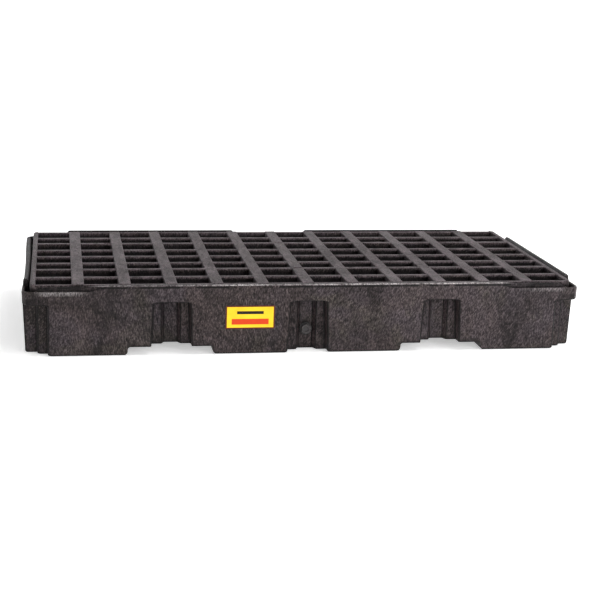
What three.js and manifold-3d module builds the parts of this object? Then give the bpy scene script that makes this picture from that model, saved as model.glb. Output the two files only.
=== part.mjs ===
// Low-profile spill containment pallet: a moulded sump tray with a lift-out
// grating, a drain plug with its sealing ring, and a label on the front wall.
// Millimetres, +X along the long side, +Y to the back, +Z up. The origin is on
// the ground at the centre of the base.
import * as THREE from 'three';
import { mergeVertices } from 'three/addons/utils/BufferGeometryUtils.js';
import Module from 'manifold-3d';

const wasm = await Module();
wasm.setup();

// ---- driving dimensions ----

// Sump tray, outside
const TRAY_LENGTH = 1308;
const TRAY_WIDTH = 667;
const LIP_TOP = 151;          // low rim, showing at the four corners
const WALL_DRAFT = 6;         // how far each wall leans out between the base and the lip
const CORNER_RADIUS = 27;
const BASE_CHAMFER = 3;

// Raised rim that carries the joining clips
const COAMING_TOP = 163;      // thin inner rim along the front and back walls
const COAMING_INSET = 6.5;    // from the lip's outer edge
const COAMING_HALF = 620;     // it stops short of the corners
const RIDGE_TOP = 165;        // front ridge, flush with the deck
const TALL_RIDGE_TOP = 166.5; // back and end ridges
const RIDGE_INSET = 2;        // from the lip's outer edge
const RIDGE_RAMP = 8;         // sloping end of each ridge
const RIDGE_FRONT_END = 262;  // how far forward both end ridges reach
const RIGHT_RIDGE_BACK = 228;
const LEFT_RIDGE_BACK = 240;

// Sump tray, inside
const POCKET_LENGTH = 1277;
const POCKET_WIDTH = 638;
const POCKET_RADIUS = 16;
const FLOOR = 7;
const WALL = 6;
const LEDGE = 130;            // level that the grating rests on

// Recesses in the walls: each is a supporting ledge on the inside
const NICHE_TOP = 124;
const NICHE_HALF_TOP = 41;
const NICHE_HALF_BASE = 47;
const NICHE_DEPTH = 32;
const NICHE_INNER_DEPTH = 46;
const NICHE_INNER_HALF = 22;
const NICHE_PANEL_HALF = 15.5;

// Stepped notches under the four corners
const NOTCH_TOP = 120;
const NOTCH_STEPS = [[597, 305], [621, 288]];

// Relief channels under the base, from front to back
const CHANNEL_INNER = 222;
const CHANNEL_OUTER = 417;
const CHANNEL_HEIGHT = 20;
const CHANNEL_CHAMFER = 5;

// Hollow support columns moulded into the floor
const COLUMN_BASE_R = 42;
const COLUMN_TOP_R = 31;
const COLUMN_SIDES = 14;

// Grating
const DECK_TOP = 165;
const DECK_LENGTH = 1271;
const DECK_WIDTH = 632;
const DECK_RADIUS = 14;
const DECK_GAP = 0.3;         // between the grating and the ledges under it
const BAR_PITCH = 105.65;
const BARS_EACH_SIDE = 5;
const BAR_WIDTH = 28;
const BAR_WALL = 6;
const RIB_PITCH = 77.6;
const RIBS_EACH_SIDE = 3;
const RIB_WIDTH = 17;
const RIB_DROP = 1.5;         // ribs lie this much below the bars
const FLUSH_RIB = 2;          // except the slotted ones, which lie flush
const RIB_CAP = 5.5;
const RIB_WEB = 6;
const BORDER_WIDTH = 12;
const BORDER_DROP = 1.5;      // and so do the front and back borders
const SLOT_LENGTH = 20;
const SLOT_WIDTH = 8;
const SLOT_X = 446;

// Drain plug in the centre front recess
const DRAIN_HEIGHT = 50;
const DRAIN_BORE_R = 11;
const BOSS_R = 18;
const BOSS_LENGTH = 14;
const PLUG_SHANK_R = 10.6;
const PLUG_SHANK_LENGTH = 24;
const PLUG_FLANGE_R = 15;
const PLUG_FLANGE = 3;
const PLUG_HEX_FLATS = 22;
const PLUG_HEX = 7;
const SEAL_THICKNESS = 2.4;
const SEAL_OUTER_R = 14;
const RUN_GAP = 0.3;          // clearance between touching pieces

// Label
const LABEL_WIDTH = 114;
const LABEL_HEIGHT = 55;
const LABEL_THICKNESS = 0.5;
const LABEL_X = -137;
const LABEL_Z = 88;

// ---- turning geometry into solids and back ----

function solid(geometry) {
  let g = geometry;
  g.deleteAttribute('normal');
  g.deleteAttribute('uv');
  g = mergeVertices(g, 1e-4);
  return new wasm.Manifold(new wasm.Mesh({
    numProp: 3,
    vertProperties: new Float32Array(g.attributes.position.array),
    triVerts: new Uint32Array(g.index.array),
  }));
}

function namedMesh(name, manifold, material) {
  const m = manifold.getMesh();
  const g = new THREE.BufferGeometry();
  g.setAttribute('position', new THREE.BufferAttribute(new Float32Array(m.vertProperties), 3));
  g.setIndex(new THREE.BufferAttribute(new Uint32Array(m.triVerts), 1));
  g.computeVertexNormals();
  const mesh = new THREE.Mesh(g, material);
  mesh.name = name;
  return mesh;
}

function unite(list) {
  return list.reduce((a, b) => a.add(b));
}

// ---- basic shapes ----

function block(x0, x1, y0, y1, z0, z1) {
  const g = new THREE.BoxGeometry(x1 - x0, y1 - y0, z1 - z0);
  g.translate((x0 + x1) / 2, (y0 + y1) / 2, (z0 + z1) / 2);
  return solid(g);
}

// Closed body through a row of rings that all have the same number of points.
// Each ring turns anticlockwise as seen from the end that the rings run towards.
function loft(rings) {
  const n = rings[0].length;
  const positions = rings.flat(2);
  const index = [];
  for (let k = 0; k + 1 < rings.length; k += 1) {
    for (let i = 0; i < n; i += 1) {
      const a = k * n + i;
      const b = k * n + (i + 1) % n;
      index.push(a, b, b + n, a, b + n, a + n);
    }
  }
  for (const end of [0, rings.length - 1]) {
    const faces = THREE.ShapeUtils.triangulateShape(flatRing(rings[end]), []);
    for (const [p, q, r] of faces) {
      const tri = end === 0 ? [p, r, q] : [p, q, r];
      index.push(...tri.map((v) => v + end * n));
    }
  }
  const g = new THREE.BufferGeometry();
  g.setAttribute('position', new THREE.Float32BufferAttribute(positions, 3));
  g.setIndex(index);
  return solid(g);
}

// The ring seen along its own normal, so that its end cap can be filled
function flatRing(ring) {
  const pts = ring.map((p) => new THREE.Vector3(...p));
  const normal = new THREE.Vector3();
  pts.forEach((p, i) => normal.add(p.clone().cross(pts[(i + 1) % pts.length])));
  const side = pts[1].clone().sub(pts[0]).normalize();
  const up = normal.normalize().clone().cross(side);
  return pts.map((p) => new THREE.Vector2(p.dot(side), p.dot(up)));
}

function roundedRing(halfX, halfY, radius, z, steps = 4) {
  const ring = [];
  for (let corner = 0; corner < 4; corner += 1) {
    const sx = corner === 0 || corner === 3 ? 1 : -1;
    const sy = corner < 2 ? 1 : -1;
    for (let i = 0; i <= steps; i += 1) {
      const a = (corner + i / steps) * Math.PI / 2;
      ring.push([
        sx * (halfX - radius) + radius * Math.cos(a),
        sy * (halfY - radius) + radius * Math.sin(a),
        z,
      ]);
    }
  }
  return ring;
}

function circleRing(x, y, radius, z, sides) {
  return Array.from({ length: sides }, (_, i) => {
    const a = 2 * Math.PI * i / sides;
    return [x + radius * Math.cos(a), y + radius * Math.sin(a), z];
  });
}

function rod(radius, length, sides) {
  // lies along -Y from the origin
  const g = new THREE.CylinderGeometry(radius, radius, length, sides);
  g.translate(0, -length / 2, 0);
  return solid(g);
}

// ---- the four walls as one local frame ----

// s runs along the wall, t points outwards from the pallet's centre
const WALLS = {
  front: { place: (s, t, z) => [-s, -t, z], half: TRAY_WIDTH / 2, pocket: POCKET_WIDTH / 2 },
  back: { place: (s, t, z) => [s, t, z], half: TRAY_WIDTH / 2, pocket: POCKET_WIDTH / 2 },
  right: { place: (s, t, z) => [t, -s, z], half: TRAY_LENGTH / 2, pocket: POCKET_LENGTH / 2 },
  left: { place: (s, t, z) => [-t, s, z], half: TRAY_LENGTH / 2, pocket: POCKET_LENGTH / 2 },
};

function wallPrism(wall, base, top, z0, z1) {
  const level = (outline, z) => outline.map(([s, t]) => wall.place(s, t, z));
  return loft([level(base, z0), level(top, z1)]);
}

// A ridge is a rounded hump along the rim with a sloping end at each side.
// slope is the width of its sloping inner side.
function ridge(wall, from, to, top, slope) {
  const outer = wall.half - RIDGE_INSET;
  const inner = wall.pocket;
  const section = (s, z, shrink) => [
    [inner, LIP_TOP - 6],
    [outer + 2, LIP_TOP - 6],
    [outer + 1 - shrink, LIP_TOP + 1],
    [outer - 1.5 - shrink, z - 4],
    [outer - 5 - shrink, z],
    [inner + slope, z],
    [inner, z - 2 * slope],
  ].map(([t, h]) => wall.place(s, t, h));
  return loft([
    section(from, COAMING_TOP - 4, 3),
    section(from + RIDGE_RAMP, top, 0),
    section(to - RIDGE_RAMP, top, 0),
    section(to, COAMING_TOP - 4, 3),
  ]);
}

// The low inner rim between the ridges of one long wall
function coaming(wall) {
  const outer = wall.half - COAMING_INSET;
  const inner = wall.pocket;
  const section = (s) => [
    [inner, LIP_TOP - 5],
    [outer, LIP_TOP - 5],
    [outer, COAMING_TOP],
    [inner + 3.5, COAMING_TOP],
    [inner, COAMING_TOP - 4.5],
  ].map(([t, h]) => wall.place(s, t, h));
  return loft([section(-COAMING_HALF), section(COAMING_HALF)]);
}

// Only the lip goes round the corners, with a groove between it and the grating
function cornerGrooves() {
  const far = 20;
  const wall = WALL + 1;
  const room = loft([LEDGE + 5, RIDGE_TOP + 10].map((z) => (
    roundedRing(TRAY_LENGTH / 2 - wall, TRAY_WIDTH / 2 - wall, CORNER_RADIUS - wall, z))));
  const zones = CORNERS.map(([sx, sy]) => {
    const back = sx > 0 ? RIGHT_RIDGE_BACK : LEFT_RIDGE_BACK;
    const ys = [sy > 0 ? back : -RIDGE_FRONT_END, sy * (TRAY_WIDTH / 2 + far)].sort((a, b) => a - b);
    const xs = [sx * COAMING_HALF, sx * (TRAY_LENGTH / 2 + far)].sort((a, b) => a - b);
    return block(...xs, ...ys, LEDGE, RIDGE_TOP + far);
  });
  return room.intersect(unite(zones));
}

// ---- sump tray ----

function nicheOutline(half, depth) {
  return (wall, centre, grow, reach) => [
    [centre + half + grow, wall.half + reach],
    [centre - half - grow, wall.half + reach],
    [centre - half - grow, wall.half - depth - grow],
    [centre + half + grow, wall.half - depth - grow],
  ];
}

function niche(wall, centre) {
  const top = nicheOutline(NICHE_HALF_TOP, NICHE_DEPTH)(wall, centre, 0, 10);
  const base = nicheOutline(NICHE_HALF_BASE, NICHE_DEPTH)(wall, centre, 0, 10);
  const panel = [
    [centre + NICHE_INNER_HALF, wall.half - NICHE_DEPTH + 1],
    [centre - NICHE_INNER_HALF, wall.half - NICHE_DEPTH + 1],
    [centre - NICHE_PANEL_HALF, wall.half - NICHE_INNER_DEPTH],
    [centre + NICHE_PANEL_HALF, wall.half - NICHE_INNER_DEPTH],
  ];
  return wallPrism(wall, base, top, -1, NICHE_TOP).add(wallPrism(wall, panel, panel, -1, NICHE_TOP));
}

function nicheShell(wall, centre) {
  const top = nicheOutline(NICHE_HALF_TOP, NICHE_DEPTH)(wall, centre, WALL, 0);
  const base = nicheOutline(NICHE_HALF_BASE, NICHE_DEPTH)(wall, centre, WALL, 0);
  const s = NICHE_INNER_HALF + WALL;
  const deep = wall.half - NICHE_INNER_DEPTH - WALL;
  const panel = [
    [centre + s, wall.half - NICHE_DEPTH],
    [centre - s, wall.half - NICHE_DEPTH],
    [centre - s, deep],
    [centre + s, deep],
  ];
  return wallPrism(wall, base, top, 0, LEDGE).add(wallPrism(wall, panel, panel, 0, LEDGE));
}

function cornerNotch(sx, sy, grow, z0, z1) {
  const far = 80;
  const boxes = NOTCH_STEPS.map(([x, y]) => {
    const xs = [sx * (x - grow), sx * (TRAY_LENGTH / 2 + far)].sort((a, b) => a - b);
    const ys = [sy * (y - grow), sy * (TRAY_WIDTH / 2 + far)].sort((a, b) => a - b);
    return block(...xs, ...ys, z0, z1);
  });
  return unite(boxes);
}

function channel(side, grow, z0, z1) {
  const x0 = CHANNEL_INNER - grow;
  const x1 = CHANNEL_OUTER + grow;
  const profile = [
    [x0, z0], [x1, z0], [x1, z1 - CHANNEL_CHAMFER],
    [x1 - CHANNEL_CHAMFER, z1], [x0 + CHANNEL_CHAMFER, z1], [x0, z1 - CHANNEL_CHAMFER],
  ].map(([x, z]) => [side * x, z]);
  const ring = (y) => profile.map(([x, z]) => [x, y, z]);
  const far = TRAY_WIDTH / 2 + 10;
  return side > 0 ? loft([ring(far), ring(-far)]) : loft([ring(-far), ring(far)]);
}

function columnCentres() {
  const centres = [];
  for (const k of [-5, -3, -1, 1, 3, 5]) {
    for (const side of [-1.5, 1.5]) {
      centres.push([k * BAR_PITCH, side * RIB_PITCH]);
    }
  }
  return centres;
}

function column(x, y, grow, z0, z1) {
  return loft([
    circleRing(x, y, COLUMN_BASE_R + grow, z0, COLUMN_SIDES),
    circleRing(x, y, COLUMN_TOP_R + grow, z1, COLUMN_SIDES),
  ]);
}

const NICHES = [
  ...[-3, 0, 3].flatMap((k) => [['front', k * BAR_PITCH], ['back', k * BAR_PITCH]]),
  ['left', 0],
  ['right', 0],
];

const CORNERS = [[1, 1], [1, -1], [-1, 1], [-1, -1]];

function sumpTray() {
  const halfX = TRAY_LENGTH / 2;
  const halfY = TRAY_WIDTH / 2;
  const baseX = halfX - WALL_DRAFT;
  const baseY = halfY - WALL_DRAFT;
  const body = loft([
    roundedRing(baseX - BASE_CHAMFER, baseY - BASE_CHAMFER, CORNER_RADIUS, 0),
    roundedRing(baseX, baseY, CORNER_RADIUS, BASE_CHAMFER),
    roundedRing(halfX, halfY, CORNER_RADIUS, LIP_TOP),
  ]);
  const rims = [
    coaming(WALLS.front),
    coaming(WALLS.back),
    ridge(WALLS.front, -482, 497, RIDGE_TOP, 2),
    ridge(WALLS.back, -548, -98, TALL_RIDGE_TOP, 4),
    ridge(WALLS.back, 94, 538, TALL_RIDGE_TOP, 4),
    ridge(WALLS.right, -RIGHT_RIDGE_BACK, RIDGE_FRONT_END, TALL_RIDGE_TOP, 4),
    ridge(WALLS.left, -RIDGE_FRONT_END, LEFT_RIDGE_BACK, TALL_RIDGE_TOP, 4),
  ];

  const pocketX = POCKET_LENGTH / 2;
  const pocketY = POCKET_WIDTH / 2;
  const pocket = loft([
    roundedRing(baseX - WALL - 1, baseY - WALL - 1, POCKET_RADIUS, FLOOR),
    roundedRing(halfX - WALL - 2, halfY - WALL - 2, POCKET_RADIUS, LEDGE + 5),
    roundedRing(pocketX, pocketY, POCKET_RADIUS, LIP_TOP - 3),
    roundedRing(pocketX, pocketY, POCKET_RADIUS, RIDGE_TOP + 10),
  ]);
  const kept = unite([
    ...NICHES.map(([wall, s]) => nicheShell(WALLS[wall], s)),
    ...CORNERS.map(([sx, sy]) => cornerNotch(sx, sy, WALL, 0, LEDGE)),
    ...[1, -1].map((side) => channel(side, WALL, -1, CHANNEL_HEIGHT + WALL)),
    ...columnCentres().map(([x, y]) => column(x, y, 0, 0, LEDGE)),
    rod(BOSS_R, BOSS_LENGTH, 24).translate([0, drainFace() + WALL + BOSS_LENGTH, DRAIN_HEIGHT]),
  ]);
  const cuts = [
    ...NICHES.map(([wall, s]) => niche(WALLS[wall], s)),
    ...CORNERS.map(([sx, sy]) => cornerNotch(sx, sy, 0, -1, NOTCH_TOP)),
    ...[1, -1].map((side) => channel(side, 0, -1, CHANNEL_HEIGHT)),
    ...columnCentres().map(([x, y]) => column(x, y, -WALL, -1, LEDGE - WALL)),
    rod(DRAIN_BORE_R, 80, 24).translate([0, drainFace() + 60, DRAIN_HEIGHT]),
    cornerGrooves(),
  ];
  return unite([body, ...rims]).subtract(pocket.subtract(kept)).subtract(unite(cuts));
}

// The centre front recess's inner panel, where the drain goes through
function drainFace() {
  return -(TRAY_WIDTH / 2 - NICHE_INNER_DEPTH);
}

// ---- grating ----

function grating() {
  const halfX = DECK_LENGTH / 2;
  const halfY = DECK_WIDTH / 2;
  const foot = LEDGE + DECK_GAP;
  const parts = [];
  const hollows = [];
  for (let k = -BARS_EACH_SIDE; k <= BARS_EACH_SIDE; k += 1) {
    const x = k * BAR_PITCH;
    const inside = BAR_WIDTH / 2 - BAR_WALL;
    parts.push(block(x - BAR_WIDTH / 2, x + BAR_WIDTH / 2, -halfY, halfY, foot, DECK_TOP));
    hollows.push(block(x - inside, x + inside, -halfY + BORDER_WIDTH, halfY - BORDER_WIDTH,
      foot - 1, DECK_TOP - BAR_WALL));
  }
  for (let k = -RIBS_EACH_SIDE; k <= RIBS_EACH_SIDE; k += 1) {
    const y = k * RIB_PITCH;
    const top = Math.abs(k) === FLUSH_RIB ? DECK_TOP : DECK_TOP - RIB_DROP;
    parts.push(block(-halfX, halfX, y - RIB_WIDTH / 2, y + RIB_WIDTH / 2, top - RIB_CAP, top));
    parts.push(block(-halfX, halfX, y - RIB_WEB / 2, y + RIB_WEB / 2, foot, top));
  }
  for (const side of [-1, 1]) {
    const ys = [side * halfY, side * (halfY - BORDER_WIDTH)].sort((a, b) => a - b);
    const xs = [side * halfX, side * (halfX - BORDER_WIDTH)].sort((a, b) => a - b);
    parts.push(block(-halfX, halfX, ...ys, foot, DECK_TOP - BORDER_DROP));
    parts.push(block(...xs, -halfY, halfY, foot, DECK_TOP));
  }
  for (const x of [-SLOT_X, 0, SLOT_X]) {
    for (const y of [-2 * RIB_PITCH, 2 * RIB_PITCH]) {
      const half = SLOT_LENGTH / 2;
      const wide = SLOT_WIDTH / 2;
      hollows.push(block(x - half, x + half, y - wide, y + wide, foot - 1, DECK_TOP + 1));
    }
  }
  const outline = loft([foot, DECK_TOP].map((z) => roundedRing(halfX, halfY, DECK_RADIUS, z, 3)));
  return unite(parts).subtract(unite(hollows)).intersect(outline);
}

// ---- drain plug and its seal ----

function drainPlug() {
  const face = drainFace() - SEAL_THICKNESS - 2 * RUN_GAP;
  const flange = rod(PLUG_FLANGE_R, PLUG_FLANGE, 24).translate([0, face, DRAIN_HEIGHT]);
  const hexR = PLUG_HEX_FLATS / 2 / Math.cos(Math.PI / 6);
  const head = rod(hexR, PLUG_FLANGE + PLUG_HEX, 6).rotate([0, 30, 0]);
  const shank = rod(PLUG_SHANK_R, PLUG_SHANK_LENGTH + 1, 24);
  return unite([
    flange,
    head.translate([0, face, DRAIN_HEIGHT]),
    shank.translate([0, face + PLUG_SHANK_LENGTH, DRAIN_HEIGHT]),
  ]);
}

function drainSeal() {
  const face = drainFace() - RUN_GAP;
  const ring = rod(SEAL_OUTER_R, SEAL_THICKNESS, 24);
  const hole = rod(PLUG_SHANK_R + RUN_GAP, SEAL_THICKNESS + 4, 24).translate([0, 2, 0]);
  return ring.subtract(hole).translate([0, face, DRAIN_HEIGHT]);
}

// ---- label ----

function label() {
  const draft = Math.atan(WALL_DRAFT / (LIP_TOP - BASE_CHAMFER));
  const baseY = -(TRAY_WIDTH / 2 - WALL_DRAFT);
  const faceY = baseY - (LABEL_Z - BASE_CHAMFER) * Math.tan(draft);
  const g = new THREE.BoxGeometry(LABEL_WIDTH, LABEL_THICKNESS, LABEL_HEIGHT);
  g.rotateX(draft);
  g.translate(LABEL_X, faceY - RUN_GAP - LABEL_THICKNESS / 2, LABEL_Z);
  return solid(g);
}

// ---- the object ----

const BLACK = 0x3c383a;
const material = (color, roughness) => new THREE.MeshStandardMaterial({ color, roughness, metalness: 0 });

const pallet = new THREE.Group();
pallet.name = 'spill_pallet';
pallet.add(
  namedMesh('sump_tray', sumpTray(), material(BLACK, 0.62)),
  namedMesh('deck_grating', grating(), material(0x444042, 0.6)),
  namedMesh('drain_plug', drainPlug(), material(0x343133, 0.55)),
  namedMesh('drain_seal', drainSeal(), material(0x1c1b1b, 0.8)),
  namedMesh('front_label', label(), material(0xf2c012, 0.5)),
);

export default pallet;
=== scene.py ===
"""Looks of a low-profile spill containment pallet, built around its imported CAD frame.

Lengths in this file are millimetres in the CAD's own frame, with the origin on
the ground under the middle of the tray. They turn into metres in make_object().
"""

import math

import bpy
import numpy as np
from mathutils import Matrix


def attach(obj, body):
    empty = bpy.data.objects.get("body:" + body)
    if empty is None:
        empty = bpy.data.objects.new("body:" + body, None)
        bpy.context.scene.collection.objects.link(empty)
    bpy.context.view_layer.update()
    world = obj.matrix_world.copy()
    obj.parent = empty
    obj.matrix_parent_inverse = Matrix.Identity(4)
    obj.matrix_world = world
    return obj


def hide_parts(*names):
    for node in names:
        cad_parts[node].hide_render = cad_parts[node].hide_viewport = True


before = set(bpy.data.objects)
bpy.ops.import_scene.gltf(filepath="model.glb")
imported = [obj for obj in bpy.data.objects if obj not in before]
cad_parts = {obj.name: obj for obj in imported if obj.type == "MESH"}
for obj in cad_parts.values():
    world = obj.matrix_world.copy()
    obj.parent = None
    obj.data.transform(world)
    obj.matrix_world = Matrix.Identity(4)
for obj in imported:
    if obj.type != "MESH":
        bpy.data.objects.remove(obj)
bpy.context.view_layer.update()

MM = 0.001

# ---- sizes shared by several pieces ----

BAR_PITCH = 105.65
RIB_PITCH = 77.6

# Tray walls: half sizes at the base, and how far they lean out up to the lip
BASE_HALF_X = 648.0
BASE_HALF_Y = 327.5
LEAN = 6.0
LIP_TOP = 151.0
CORNER_R = 27.0
WALL = 6.0
FLOOR = 7.0
LEDGE = 130.0

# Recesses in the walls
NICHE_TOP = 124.0
NICHE_HALF_BASE = 47.0
NICHE_HALF_TOP = 41.0
NICHE_STEP = (22.0, 32.0)      # half width and depth of the first step
NICHE_PANEL = (15.5, 46.0)     # half width and depth of the back panel
NOTCH_TOP = 120.0
NOTCH = ((597.0, 305.0), (621.0, 288.0))
CEILING_R = 6.0                # rounding where a recess's sides meet its ceiling
MOUTH_R = 5.0                  # rounding of a recess's outer edges

# Relief channels under the base: inner side, outer side and height
CHANNEL = (222.0, 417.0, 20.0)
CHANNEL_FOOT_R = 10.0          # rounding of the feet beside them
CHANNEL_ROOF_R = 6.0
HUMP_R = 9.0                   # rounding of the sump's floor over them
PAST_WALLS = 345.0             # half length of a body that runs out through both long walls

# The left wall has sunk in behind its front corner: how deep, where along Y this grows and
# fades, and how far out along X it takes hold
SINK = 3.0
SINK_GROWS = (-285.0, -195.0)
SINK_FADES = (220.0, -40.0)
SINK_OUT = (-560.0, -620.0)

# Drain: its axis, the recess's back panel, its bore and the boss inside the sump
DRAIN_Z = 50.0
DRAIN_FACE_Y = -287.5
DRAIN_BORE_R = 11.0
BOSS = ((19.0, -1.5), (18.0, 1.0), (17.6, 12.5), (16.6, 14.0))

# Drain plug
SEAL_SPACE = 3.0               # between the panel and the flange
FLANGE_R = 15.0
FLANGE = 3.0
FLANGE_EDGE = 0.8
HEX_FLATS = 22.0
HEX_BLUNT = 0.97               # its corners are cut at this share of their radius
# Scale of the head's section, and how far out from the panel's side of the flange it lies
HEX_HEAD = ((1.0, 2.5), (1.0, 9.0), (0.95, 10.0), (0.6, 10.0), (0.55, 7.5))
THREAD_ROOT_R = 10.0
THREAD_CREST_R = 10.6
THREAD_PITCH = 2.4
SHANK_END = 24.0

# Seal: middle radius, and half its section's width and thickness
SEAL_R = 12.5
SEAL_HALF = (1.45, 1.15)
SEAL_POWER = 0.7               # 1 makes the section an ellipse, 0 a rectangle

# Ridges on the rim: wall, from, to, ramp length
RIDGES = {
    "front": [(-515.0, 500.0, 48.0)],
    "back": [(-548.0, -98.0, 6.0), (94.0, 538.0, 6.0)],
    "right": [(-262.0, 228.0, 8.0)],
    "left": [(-262.0, 240.0, 8.0)],
}

# Grating
DECK_TOP = 165.0
DECK_FOOT = 130.3
DECK_HALF_X = 635.5
DECK_HALF_Y = 316.0
DECK_R = 14.0
BAR_HALF = 14.0
BAR_EDGE_R = 2.6
BAR_HOLLOW_HALF = 8.0
RIB_HALF = 8.5
RIB_TOP = 163.5
RIB_EDGE_R = 3.6
SLOTTED_EDGE_R = 2.4
RIB_CAP = 5.5
WEB_HALF = 3.0
BORDER = 12.0
SLOT_X = 446.0
SLOT_HALF = (10.0, 4.0)
SLOT_R = 2.0

# Label
LABEL_X = -137.0
LABEL_Z = 88.0
LABEL_HALF = (57.0, 27.5)
LABEL_R = 3.0

# Sections through the rim as (distance in from the wall's face, height)
RIM_LOW = [
    (0, 144), (0, 147), (0.5, 149.4), (1.8, 150.9), (3.0, 151.1), (4.2, 150.4), (5.4, 147.5),
    (7.9, 149), (7.6, 155.5), (7.4, 159), (8.2, 160.8), (10.2, 161.4), (12.4, 160.6),
    (14.1, 158.2), (14.5, 154),
]
RIM_FRONT = [
    (0, 144), (0.1, 148), (0.3, 151), (0.6, 153.5), (0.9, 155.5), (1.2, 157.5), (1.6, 159.2),
    (2.2, 160.9), (3.2, 162.6), (4.7, 164.1), (6.8, 165), (11.8, 165), (13.6, 164.2),
    (14.5, 162.4), (14.5, 154),
]
RIM_TALL = [
    (0, 144), (0.1, 147), (0.7, 149.8), (1.3, 152), (1.6, 154.6), (1.8, 157.5), (2.1, 160.6),
    (2.7, 163.4), (4.0, 165.2), (5.4, 165.5), (6.8, 165.6), (8.4, 166.5), (10.0, 166.1),
    (13.2, 161), (14.5, 156),
]
RIM_CORNER = [
    (0, 144), (0, 147), (0.4, 149.2), (1.5, 150.7), (3.0, 151.1), (4.6, 150.8), (5.8, 149.9),
    (6.5, 148.6), (6.9, 147),
] + [(7, 145.6 - k) for k in range(6)]
# Below the rim, on the inside, and the same where there is only the lip
UNDER_RIM = [(14.4, 149), (12.6, 143), (9.2, 137)]
UNDER_LIP = [(7, 139.4), (7, 138.2), (7, 137)]
RIM_ENDS = (616.5, 621.0)      # the low inner rim runs out here, before the corners


# ---- mesh helpers ----

def make_object(name, verts, faces):
    mesh = bpy.data.meshes.new(name)
    mesh.from_pydata((np.asarray(verts, float) * MM).tolist(), [], faces)
    mesh.update()
    obj = bpy.data.objects.new(name, mesh)
    bpy.context.scene.collection.objects.link(obj)
    return obj


def loft_data(rings, closed=False):
    """Vertices and faces of the body through a row of rings, facing outwards."""
    rings = np.asarray(rings, float)
    count, n = rings.shape[:2]
    faces = []
    for k in range(count if closed else count - 1):
        a = k * n
        b = (k + 1) % count * n
        for i in range(n):
            j = (i + 1) % n
            faces.append((a + i, a + j, b + j, b + i))
    if not closed:
        faces.append(tuple(reversed(range(n))))
        faces.append(tuple(range((count - 1) * n, count * n)))
    verts = rings.reshape(-1, 3)
    if volume(verts, faces) < 0:
        faces = [tuple(reversed(f)) for f in faces]
    return verts, faces


def volume(verts, faces):
    total = 0.0
    for f in faces:
        p = verts[list(f)]
        total += np.einsum("j,ij->i", p[0], np.cross(p[1:-1], p[2:])).sum()
    return total / 6


def merged(parts):
    verts = []
    faces = []
    start = 0
    for v, f in parts:
        verts.append(v)
        faces += [tuple(i + start for i in face) for face in f]
        start += len(v)
    return np.vstack(verts), faces


def take_result(obj):
    """Replaces the object's mesh with what its modifiers make of it."""
    graph = bpy.context.evaluated_depsgraph_get()
    mesh = bpy.data.meshes.new_from_object(obj.evaluated_get(graph))
    mesh.name = obj.name
    obj.modifiers.clear()
    obj.data = mesh


def combine(obj, parts, operation):
    tool = make_object("tool", *merged(parts))
    step = obj.modifiers.new("combine", "BOOLEAN")
    step.operation = operation
    step.solver = "MANIFOLD"
    step.object = tool
    take_result(obj)
    bpy.data.objects.remove(tool)


def body_data(obj):
    """The object's own vertices, in millimetres, and faces."""
    verts = np.array([v.co[:] for v in obj.data.vertices]) / MM
    return verts, [tuple(p.vertices) for p in obj.data.polygons]


def weld(obj, distance):
    step = obj.modifiers.new("weld", "WELD")
    step.merge_threshold = distance * MM
    take_result(obj)


def smooth(obj, angle=32.0):
    """Smooth faces, sharp edges where the surface turns sharply, and even shading on flats."""
    mesh = obj.data
    mesh.shade_smooth()
    mesh.set_sharp_from_angle(angle=math.radians(angle))
    step = obj.modifiers.new("normals", "WEIGHTED_NORMAL")
    step.keep_sharp = True
    take_result(obj)


SHARP_TURN = 50.0              # degrees between two faces, too much for a rounded edge


def mark_edges(obj, low=12.0, high=26.0, mouth_below=0.0):
    """Stores how strongly each vertex lies on a rounded outer edge, for the wear there, and which ones lie
    in a crease, for painted shade there.
    Wear starts where two faces turn by low degrees and is full at high. Outer edges lower than mouth_below
    are recess mouths and get the same painted shade as creases."""
    mesh = obj.data
    count = len(mesh.vertices)
    co = np.zeros(count * 3)
    mesh.vertices.foreach_get("co", co)
    co = co.reshape(-1, 3)
    normals = np.array([p.normal[:] for p in mesh.polygons])
    centres = np.array([p.center[:] for p in mesh.polygons])
    totals = np.zeros(len(mesh.polygons), int)
    mesh.polygons.foreach_get("loop_total", totals)
    loop_edge = np.zeros(len(mesh.loops), int)
    mesh.loops.foreach_get("edge_index", loop_edge)
    face_of_loop = np.repeat(np.arange(len(mesh.polygons)), totals)
    order = np.argsort(loop_edge, kind="stable")
    edges = loop_edge[order]
    first = np.flatnonzero(edges[:-1] == edges[1:])
    one = face_of_loop[order[first]]
    two = face_of_loop[order[first + 1]]
    turn = np.degrees(np.arccos(np.clip((normals[one] * normals[two]).sum(1), -1, 1)))
    convex = ((centres[two] - centres[one]) * normals[one]).sum(1) < 0
    ends = np.zeros(len(mesh.edges) * 2, int)
    mesh.edges.foreach_get("vertices", ends)
    ends = ends.reshape(-1, 2)[edges[first]]
    mouth = convex & (co[ends[:, 0], 2] < mouth_below * MM)
    rounded = convex & ~mouth & (turn < SHARP_TURN)
    outer = np.where(rounded, np.clip((turn - low) / (high - low), 0, 1), 0)
    # creases and recess mouths, which get painted shade
    inner = np.where((mouth | ~convex) & (turn > low), 1.0, 0.0)
    for name, amount in (("edge", outer), ("crease_shade", inner)):
        value = np.zeros(count)
        np.maximum.at(value, ends[:, 0], amount)
        np.maximum.at(value, ends[:, 1], amount)
        layer = mesh.attributes.new(name, "FLOAT", "POINT")
        layer.data.foreach_set("value", value.astype(np.float32))


# ---- outlines ----

def arc(x, z, radius, start, end, steps):
    """Points along part of a circle, from and to an angle given in quarter turns."""
    angles = np.linspace(start, end, steps + 1) * math.pi / 2
    return [(x + radius * math.cos(a), z + radius * math.sin(a)) for a in angles]


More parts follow.
